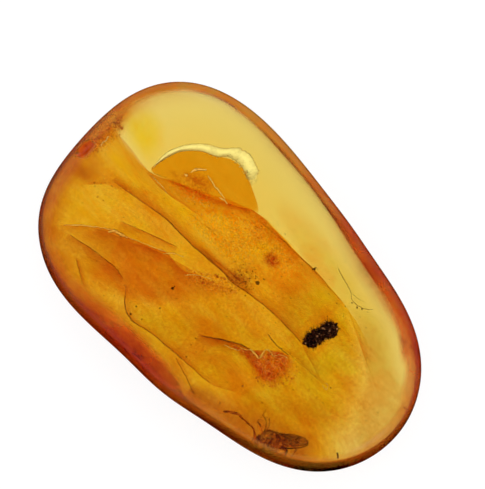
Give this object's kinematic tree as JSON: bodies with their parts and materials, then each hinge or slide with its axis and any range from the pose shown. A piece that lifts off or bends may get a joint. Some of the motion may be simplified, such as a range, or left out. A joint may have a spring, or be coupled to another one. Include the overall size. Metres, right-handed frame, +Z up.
{
  "type": "insect in baltic amber",
  "caption": "Polished pebble of clear golden amber with a small gnat and a clump of bark debris sealed inside; it rests on a small flat spot.",
  "frame": {"origin": "under the middle of the stone's outline, on the surface that its flat spot rests on", "axes": "+X along the stone's long axis towards its narrower end, +Y across it, +Z up out of the domed polished face"},
  "size_m": [0.028, 0.0172, 0.0079],
  "materials": {
    "amber": "polished, clear golden to orange fossil resin",
    "chitin": "dark brown insect cuticle with a faint sheen",
    "bark": "nearly black, rough and fibrous"
  },
  "bodies": {
    "root": {"amber_upper": "amber", "amber_lower": "amber", "gnat": "chitin", "bark_debris": "bark"}
  },
  "joints": []
}
